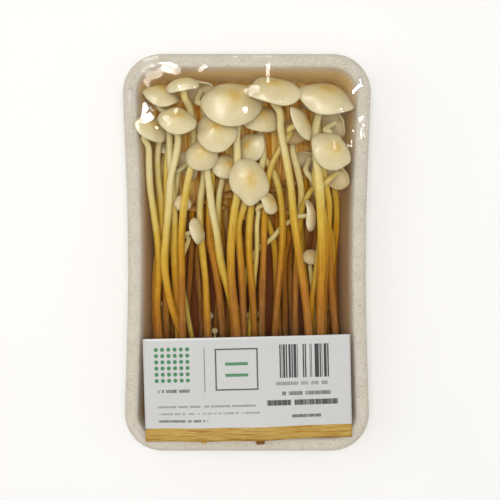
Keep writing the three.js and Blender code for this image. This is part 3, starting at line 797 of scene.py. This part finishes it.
def pulp_material():
    """Matt moulded pulp: warm grey with brown flecks, short fibres and a dimpled skin."""
    material, tree, shader = new_material("moulded pulp")
    place = in_millimetres(tree)
    patches, grain = mottle(tree, place, 9.0, 0.7)
    base = ramp(tree, patches, PULP_PATCHES)
    grained = mix_colour(tree, step_up(tree, grain, 0.3, 0.75), base, PULP_GRAIN)
    specks = noise(tree, place, 1.1, 3.0, {"Roughness": 0.65})
    fleck = times(tree, step_up(tree, specks, 0.61, 0.69), 0.7)
    flecked = mix_colour(tree, fleck, grained, PULP_FLECK)
    hairs = fibres(tree, place, (0.25, 1.6, 1.0), 1.2, 4.0, turn=(0.3, 0.2, 0.6))
    hair = times(tree, step_up(tree, hairs, 0.6, 0.75), 0.25)
    haired = mix_colour(tree, hair, flecked, PULP_HAIR)
    # The inside gets a stain and painted shade.
    tree.links.new(stain_and_painted_shade(tree, place, haired), shader.inputs["Base Color"])
    set_shader(shader, {"Roughness": 0.92, "Specular IOR Level": 0.25})
    raise_surface(tree, shader, plus(tree, grain, times(tree, patches, 1.5)), 0.6, 0.0004)
    return material


def tray_piece():
    """The tray as one closed skin, from the middle of its underside round the rim to its floor."""
    outside = [
        (FLOOR_INSET + 8, BASE_Z), (FLOOR_INSET - 2, BASE_Z), (RIM_WIDTH + 5, FLOOR_Z + 4),
        (RIM_WIDTH - 1, RIM_HEIGHT - PULP - 1), (3, RIM_HEIGHT - PULP),
        (PULP, LIP_Z - 0.6), (0.4, LIP_Z - PULP),
    ]
    rim = [(0, LIP_Z), (1, RIM_HEIGHT - 1), (3, RIM_HEIGHT), (RIM_WIDTH, RIM_HEIGHT - 0.4)]
    inside = [(RIM_WIDTH + 6, FLOOR_Z + 5), (FLOOR_INSET, FLOOR_Z), (FLOOR_INSET + 8, FLOOR_Z)]
    rings = [np.array([[0, 0, BASE_Z]])]
    for inset, height in rounded(outside + rim + inside, TRAY_ROUNDING):
        flat = tray_outline(inset)
        rings.append(np.column_stack([flat, np.full(len(flat), height)]))
    rings.append(np.array([[0, 0, FLOOR_Z]]))
    piece = make_piece("pulp_tray", np.vstack(rings), loft_faces(rings), pulp_material())
    rim_end = len(rounded(outside + rim, TRAY_ROUNDING))
    store(piece, "inside", over_rings(rings, [k > rim_end for k in range(len(rings))]))
    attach(piece, "root")
    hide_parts("tray")


# Film

class FilmTop:
    """The film's height over the tray, drawn tight over the rim and what lies highest under it."""

    CELL = 1.0

    def __init__(self, tops):
        half_x, half_y = TRAY_WIDTH / 2 + 2, TRAY_LENGTH / 2 + 2
        self.left, self.low = -half_x, -half_y
        columns = int(2 * half_x / self.CELL) + 1
        rows = int(2 * half_y / self.CELL) + 1
        held = self.highest(tops, columns, rows) + FILM_GAP
        rim = RIM_HEIGHT + FILM_GAP
        x = self.left + self.CELL * np.arange(columns)
        y = self.low + self.CELL * np.arange(rows)
        on_rim = inset_at(*np.meshgrid(x, y)) < RIM_WIDTH - 1
        held[on_rim] = np.maximum(held[on_rim], rim)
        self.height = self.tightened(held, np.maximum(held, rim))

    def highest(self, tops, columns, rows):
        """The highest of the points in and next to each cell."""
        place = np.floor((tops[:, :2] - [self.left, self.low]) / self.CELL + 0.5).astype(int)
        inside = ((place >= 0) & (place < [columns, rows])).all(1)
        place, heights = place[inside], tops[inside, 2]
        held = np.zeros((rows, columns))
        np.maximum.at(held, (place[:, 1], place[:, 0]), heights)
        wide = np.pad(held, 1, mode="edge")
        around = [wide[i:i + rows, j:j + columns] for i in range(3) for j in range(3)]
        return np.max(around, 0)

    @staticmethod
    def tightened(held, height):
        """Heights drawn as flat as what holds them up allows, every other cell by turns."""
        rows, columns = held.shape
        parity = np.add.outer(np.arange(rows), np.arange(columns)) % 2
        loose = np.ones_like(held, bool)
        loose[[0, -1]] = loose[:, [0, -1]] = False
        turns = [(parity == colour) & loose for colour in (0, 1)]
        for _ in range(TIGHTENING_ROUNDS):
            for moved in turns:
                mean = np.zeros_like(height)
                ends = height[:-2, 1:-1] + height[2:, 1:-1]
                mean[1:-1, 1:-1] = (ends + height[1:-1, :-2] + height[1:-1, 2:]) / 4
                eased = np.maximum(held, height + TIGHTENING_PULL * (mean - height))
                height = np.where(moved, eased, height)
        return height

    def at(self, x, y):
        rows, columns = self.height.shape
        column = np.clip((x - self.left) / self.CELL, 0, columns - 1.001)
        row = np.clip((y - self.low) / self.CELL, 0, rows - 1.001)
        i, j = row.astype(int), column.astype(int)
        s, t = column - j, row - i
        grid = self.height
        low = grid[i, j] * (1 - s) + grid[i, j + 1] * s
        high = grid[i + 1, j] * (1 - s) + grid[i + 1, j + 1] * s
        return low * (1 - t) + high * t


def under_label(x, y):
    """1 under the label, 0 well clear of it."""
    c, s = math.cos(LABEL_TURN), math.sin(LABEL_TURN)
    along = (x - LABEL_MIDDLE[0]) * c + (y - LABEL_MIDDLE[1]) * s
    up = (y - LABEL_MIDDLE[1]) * c - (x - LABEL_MIDDLE[0]) * s
    clear = np.maximum(np.abs(along) - LABEL_SIZE[0] / 2, np.abs(up) - LABEL_SIZE[1] / 2)
    return 1 - part_way(clear, 0, LABEL_FADE)


def film_material():
    """Clear film: a thin mirror of what is round it over what is under it."""
    material, tree, shader = new_material("clear film")
    set_shader(shader, {"Base Color": (1, 1, 1, 1), "Metallic": 1.0, "Roughness": 0.02})
    tree.links.new(kept(tree, "shows"), shader.inputs["Alpha"])
    waves = noise(tree, in_millimetres(tree), 0.05, 1.0, {"Distortion": 0.6})
    raise_surface(tree, shader, waves, 0.4, 0.0015)
    return material


def film_profile():
    """The film's line down from the rim and under the base, as close points of inset and height."""
    outside = -FILM_GAP - FILM_LIFT
    wall = rounded([
        (3, RIM_HEIGHT + FILM_GAP + FILM_LIFT), (0.6, RIM_HEIGHT - 0.3), (outside, LIP_Z),
        (outside, LIP_Z - PULP - 1), (FLOOR_INSET - 4.4, BASE_Z + 1.4),
        (FLOOR_INSET - 2, FILM_UNDER_Z), (FLOOR_INSET - 2 + FILM_TUCK, FILM_UNDER_Z),
    ], FILM_ROUNDING)
    close = []
    for a, b in zip(wall, wall[1:]):
        steps = max(1, int(np.linalg.norm(b - a) / FILM_WALL_STEP))
        close += [a + (b - a) * step / steps for step in range(steps)]
    return close + [wall[-1]]


def film_piece(top, random):
    """The film from the middle of the top over the rim, down the sides and under the base."""
    edge = tray_outline(0.0)
    phase = random.uniform(0, FULL_TURN, len(CREASE_WAVES))
    turn = np.linspace(0, FULL_TURN, AROUND, endpoint=False)
    crease = sum(np.sin(n * turn + phase[k]) / (k + 1) for k, n in enumerate(CREASE_WAVES))
    fold = np.clip(crease, 0, 1.5)
    by_side = part_way(np.abs(edge), CREASED_CORNER, CREASED_CORNER_FADE)
    corner = by_side[:, 0] * by_side[:, 1]

    rings = [np.array([[0, 0, top.at(np.zeros(1), np.zeros(1))[0]]])]
    shows = [FILM_CLEAR]
    for share in np.linspace(0, FILM_TOP_REACH, FILM_TOP_RINGS)[1:]:
        x, y = edge.T * share
        near_edge = (1 - part_way(inset_at(x, y), 0, CREASED_EDGE)) ** 2
        ripple = crease * (TOP_RIPPLE[0] + TOP_RIPPLE[1] * corner)
        ripple = ripple * near_edge * (1 - under_label(x, y))
        height = top.at(x, y) + FILM_LIFT + np.maximum(ripple, TOP_RIPPLE_DIP)
        rings.append(np.column_stack([x, y, height]))
        shows.append(FILM_CLEAR + FILM_FOLDS * corner * near_edge * fold)

    for inset, height in film_profile():
        drop = part_way(LIP_Z - PULP - height, 0, 12)
        flank = drop * part_way(height, 1.0, 4)
        pleat = crease * (SIDE_PLEAT[0] + SIDE_PLEAT[1] * corner) * flank
        flat = tray_outline(inset)
        out = flat / np.linalg.norm(flat, axis=1)[:, None]
        flat = flat + out * np.maximum(pleat, SIDE_PLEAT_DIP)[:, None]
        under = part_way(2.0 - height, 0, 2) * part_way(inset, FLOOR_INSET, 10)
        lift = GATHERED_LIFT * np.clip(crease, -1, 1) * under
        rings.append(np.column_stack([flat, height + lift]))
        shows.append(FILM_CLEAR + drop * (FILM_SIDES + FILM_FOLDS * (0.3 + corner) * fold))

    piece = make_piece("film_wrap", np.vstack(rings), loft_faces(rings), film_material())
    store(piece, "shows", over_rings(rings, shows))
    piece.data.flip_normals()
    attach(piece, "root")
    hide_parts("film")


# Label

PAPER_WHITES = (srgb(200, 201, 200), srgb(206, 207, 206))
GREY_INK = srgb(36, 36, 40)
BAR_INK = srgb(40, 40, 44)
GREEN_INK = srgb(8, 122, 62)
WOOD_COLOURS = (
    (0.36, srgb(150, 104, 30)), (0.46, srgb(180, 140, 56)), (0.56, srgb(200, 168, 88)),
    (0.66, srgb(164, 122, 44)),
)

# Places on the label, in millimetres from its middle: left, right, bottom, top
INK_EDGE = 0.08
THIN_RULE = (-22.0, -21.6, -1.5, 21.5)
DOT_FIELD = (-48.0, -28.8, 3.2, 22.4)
DOT_PITCH = 3.2
DOT_EDGE = (1.15, 0.95)
BAR_FIELD = (16.6, 42.0, 5.0, 22.2)
BAR_WIDTH = 0.36
SQUARE_FRAME = (
    (-16.4, 5.6, 20.0, 20.8), (-16.4, 5.6, -0.8, 0.0),
    (-16.4, -15.6, -0.8, 20.8), (4.8, 5.6, -0.8, 20.8),
)
GREEN_LINES = ((-11.2, 0.4, 12.0, 13.6), (-11.2, 0.4, 6.2, 7.8))

# Lines of marks: their place, the length of a run of them, and the strength of the ink
MARKED_LINES = (
    ((-46.5, 4.0, -9.3, -8.2), 0.9, 0.5),
    ((-46, 6.0, -12.9, -11.9), 0.8, 0.45),
    ((-46, -20.5, -16.7, -15.5), 1.0, 0.75),
    ((14.5, 41.0, 1.2, 3.0), 1.3, 0.5),
    ((17.5, 42.5, -4.0, -2.0), 1.4, 0.7),
    ((9.8, 46, -9.1, -6.3), 1.7, 0.9),
    ((22.4, 37.2, -15.5, -13.9), 1.2, 0.8),
    ((-46.0, -29.0, -1.5, 0.2), 1.1, 0.75),
)


class Print:
    """Marks printed on paper, as masks over places on it."""

    def __init__(self, tree, place, colour):
        self.tree, self.place, self.colour = tree, place, colour
        split = add_node(tree, "ShaderNodeSeparateXYZ", {0: place}).outputs
        self.across, self.up = split["X"], split["Y"]

    def ink(self, mask, shade, strength):
        """Prints a shade where the mask is."""
        covered = times(self.tree, mask, strength)
        self.colour = mix_colour(self.tree, covered, self.colour, shade)

    def within(self, value, low, high):
        begun = step_up(self.tree, value, low - INK_EDGE, low + INK_EDGE)
        return times(self.tree, begun, step_up(self.tree, value, high + INK_EDGE, high - INK_EDGE))

    def block(self, left, right, bottom, top):
        columns = self.within(self.across, left, right)
        return times(self.tree, columns, self.within(self.up, bottom, top))

    def strokes(self, size, share):
        """Upright strokes of a size, left out here and there, down to a share of them."""
        spot = add_node(self.tree, "ShaderNodeTexWhiteNoise", noise_dimensions="1D")
        counted = math_node(self.tree, "DIVIDE", self.across, size)
        self.tree.links.new(math_node(self.tree, "FLOOR", counted, 0.0), spot.inputs["W"])
        return math_node(self.tree, "LESS_THAN", spot.outputs["Value"], share)

    def marks(self, place, run):
        """A line of short marks with gaps between, over a faint run."""
        spot = add_node(self.tree, "ShaderNodeTexWhiteNoise", noise_dimensions="2D")
        stepped = vector_math(self.tree, "SNAP", {0: self.place, 1: (run, 50.0, 1.0)})
        self.tree.links.new(stepped[0], spot.inputs["Vector"])
        shown = math_node(self.tree, "GREATER_THAN", spot.outputs["Value"], 0.16)
        dark = plus(self.tree, times(self.tree, self.strokes(0.4, 0.6), 0.3), 0.7)
        return times(self.tree, times(self.tree, self.block(*place), shown), dark)

    def dots(self):
        """Round dots in even rows."""
        pitch, middle = (DOT_PITCH, DOT_PITCH, 1000.0), (DOT_PITCH / 2, DOT_PITCH / 2, 0.0)
        in_cell = vector_math(self.tree, "MODULO", {0: self.place, 1: pitch})[0]
        folded = vector_math(self.tree, "ABSOLUTE", {0: in_cell})[0]
        off_dot = vector_math(self.tree, "DISTANCE", {0: folded, 1: middle})["Value"]
        return step_up(self.tree, off_dot, *DOT_EDGE)


def paper_material():
    """White label paper with dots, a frame, bars and lines, and a strip of printed wood grain."""
    material, tree, shader = new_material("label paper")
    place = kept(tree, "on_label", vector=True)
    patches, fine = mottle(tree, place, 14.0, 0.4)
    sheet = Print(tree, place, mix_colour(tree, patches, *PAPER_WHITES))
    sheet.ink(sheet.block(*THIN_RULE), GREY_INK, 0.8)
    for line, run, strength in MARKED_LINES:
        sheet.ink(sheet.marks(line, run), GREY_INK, strength)
    sheet.ink(times(tree, sheet.dots(), sheet.block(*DOT_FIELD)), GREEN_INK, 0.9)
    square = sheet.block(*SQUARE_FRAME[0])
    for side in SQUARE_FRAME[1:]:
        square = math_node(tree, "MAXIMUM", square, sheet.block(*side))
    sheet.ink(square, GREY_INK, 0.85)
    for line in GREEN_LINES:
        sheet.ink(sheet.block(*line), GREEN_INK, 0.85)
    bars = times(tree, sheet.strokes(BAR_WIDTH, 0.5), sheet.block(*BAR_FIELD))
    sheet.ink(bars, BAR_INK, 0.95)

    year_rings = fibres(tree, place, (0.03, 1.0, 1.0), 1.9, 6.0, distortion=1.2)
    wood = ramp(tree, year_rings, WOOD_COLOURS)
    strip_top = STRIP_HEIGHT - LABEL_SIZE[1] / 2
    strip = step_up(tree, sheet.up, strip_top + STRIP_EDGE, strip_top - STRIP_EDGE)
    tree.links.new(mix_colour(tree, strip, sheet.colour, wood), shader.inputs["Base Color"])
    set_shader(shader, {"Roughness": 0.42})
    raise_surface(tree, shader, fine, 0.15, 0.0001)
    return material


def stiffened(top):
    """The film's top as stiffer paper takes it: bridged between high places and eased."""
    height = top.height
    for pick, across, up in (
        (np.max, *LABEL_BRIDGE), (np.min, *LABEL_BRIDGE), (np.max, LABEL_CLEAR, LABEL_CLEAR),
    ):
        for reach, axis in ((across, 1), (up, 0)):
            steps = [np.roll(height, step, axis) for step in range(-reach, reach + 1)]
            height = pick(steps, axis=0)
    for _ in range(LABEL_EASING):
        around = sum(np.roll(height, step, axis) for step in (-1, 1) for axis in (0, 1))
        height = (height + around) / 5
    paper = copy.copy(top)
    paper.height = np.maximum(height, top.height)
    return paper


def label_piece(top):
    """A thin sheet stuck to the film."""
    columns, rows = LABEL_GRID
    width, height = LABEL_SIZE
    u, v = np.meshgrid(
        np.linspace(-0.5, 0.5, columns + 1) * width, np.linspace(-0.5, 0.5, rows + 1) * height,
    )
    u, v = u.ravel(), v.ravel()
    c, s = math.cos(LABEL_TURN), math.sin(LABEL_TURN)
    x = LABEL_MIDDLE[0] + u * c - v * s
    y = LABEL_MIDDLE[1] + u * s + v * c
    points = np.column_stack([x, y, stiffened(top).at(x, y) + FILM_LIFT + LABEL_LIFT])
    faces = []
    for row in range(rows):
        for column in range(columns):
            a = row * (columns + 1) + column
            b = a + columns + 1
            faces.append((a, a + 1, b + 1, b))
    piece = make_piece("paper_label", points, faces, paper_material())
    store(piece, "on_label", np.column_stack([u, v, np.zeros_like(u)]))
    thick = piece.modifiers.new("paper thickness", "SOLIDIFY")
    thick.thickness = LABEL_THICK * MM
    thick.offset = 1
    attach(piece, "root")
    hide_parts("label")


# Studio, in metres and watts

FLOOR_WHITES = ((0.96, 0.96, 0.96, 1), (0.98, 0.98, 0.98, 1))
FLOOR_HALF_MM = 1600
ROOM_LIGHT = (1.0, 0.985, 0.96, 1)
ROOM_STRENGTH = 0.43
LAMP_WHITE = (1, 0.98, 0.95)
SOFTBOX = (0.8, 1.1)
FILL = (0.45, 0.45)

# Panes that only show mirrored in the film: x, y, width, length and power
PANE_WHITE = (1, 0.98, 0.94)
PANE_HEIGHT = 0.75
WINDOW = [
    (-0.33 + 0.072 * column, 0.84 + 0.24 * row, 0.11, 0.2, 2.7)
    for column in (-1, 1) for row in (-1, 0, 1)
]
OTHER_PANES = [
    (0.02, 0.95, 0.06, 0.1, 1.0), (0.58, 0.45, 0.08, 0.2, 2.6), (0.9, 0.18, 0.06, 0.1, 1.6),
    (-0.2, 0.26, 0.05, 0.08, 1.6),
]

CAMERA_LENS = 65
CAMERA_SENSOR = 36
CAMERA_AIM = Vector((0.0016, 0.00225, 0.026))
CAMERA_LEAN = math.radians(2.5)
HALF_VIEW = 0.1277


def floor_piece():
    material, tree, shader = new_material("pale floor")
    patches, _ = mottle(tree, in_millimetres(tree), 120.0, 6.0)
    tree.links.new(mix_colour(tree, patches, *FLOOR_WHITES), shader.inputs["Base Color"])
    set_shader(shader, {"Roughness": 0.8})
    half = FLOOR_HALF_MM
    corners = [(-half, -half, 0), (half, -half, 0), (half, half, 0), (-half, half, 0)]
    floor = make_piece("floor", corners, [(0, 1, 2, 3)], material)


def lamp(name, place, aim, size, power, tint):
    light = bpy.data.lights.new(name, "AREA")
    light.shape = "RECTANGLE"
    light.size, light.size_y = size
    light.energy = power
    light.color = tint
    holder = bpy.data.objects.new(name, light)
    holder.location = place
    holder.rotation_euler = (Vector(aim) - Vector(place)).to_track_quat("-Z", "Y").to_euler()
    bpy.context.scene.collection.objects.link(holder)
    return holder


def light_up():
    """A pale room, two softboxes, a fill from above and window panes for the film to mirror."""
    world = bpy.data.worlds.new("studio")
    bpy.context.scene.world = world
    world.use_nodes = True
    room = world.node_tree.nodes["Background"].inputs
    room["Color"].default_value = ROOM_LIGHT
    room["Strength"].default_value = ROOM_STRENGTH
    middle = (0, 0, 0)
    lamp("left softbox", (-0.95, 0.1, 0.75), middle, SOFTBOX, 2.2, LAMP_WHITE)
    lamp("right softbox", (0.95, -0.1, 0.75), middle, SOFTBOX, 0.8, LAMP_WHITE)
    fill = lamp("overhead fill", (0, 0.05, 1.1), middle, FILL, 6.2, LAMP_WHITE)
    fill.visible_glossy = False
    for x, y, width, length, power in WINDOW + OTHER_PANES:
        place, aim = (x, y, PANE_HEIGHT), (x, y - 0.6, 0)
        pane = lamp("window pane", place, aim, (width, length), power, PANE_WHITE)
        pane.visible_diffuse = False


def set_camera():
    """From above, leaning a little toward the caps."""
    camera = bpy.data.objects.new("camera", bpy.data.cameras.new("camera"))
    bpy.context.scene.collection.objects.link(camera)
    bpy.context.scene.camera = camera
    camera.data.lens = CAMERA_LENS
    camera.data.sensor_width = CAMERA_SENSOR
    distance = HALF_VIEW * CAMERA_LENS / (CAMERA_SENSOR / 2)
    away = Vector((0, math.sin(CAMERA_LEAN), math.cos(CAMERA_LEAN)))
    camera.location = CAMERA_AIM + distance * away
    camera.rotation_euler = (-CAMERA_LEAN, 0, 0)
    bpy.context.scene.view_settings.view_transform = "Standard"


random = np.random.default_rng(SEED)
flesh = flesh_material()
tops = []
for node in sorted(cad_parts):
    if node.startswith(("mushroom", "pin")):
        tops.append(mushroom_piece(Mushroom(node, random), flesh))
tray_piece()
film_top = FilmTop(np.vstack(tops))
film_piece(film_top, random)
label_piece(film_top)
floor_piece()
light_up()
set_camera()
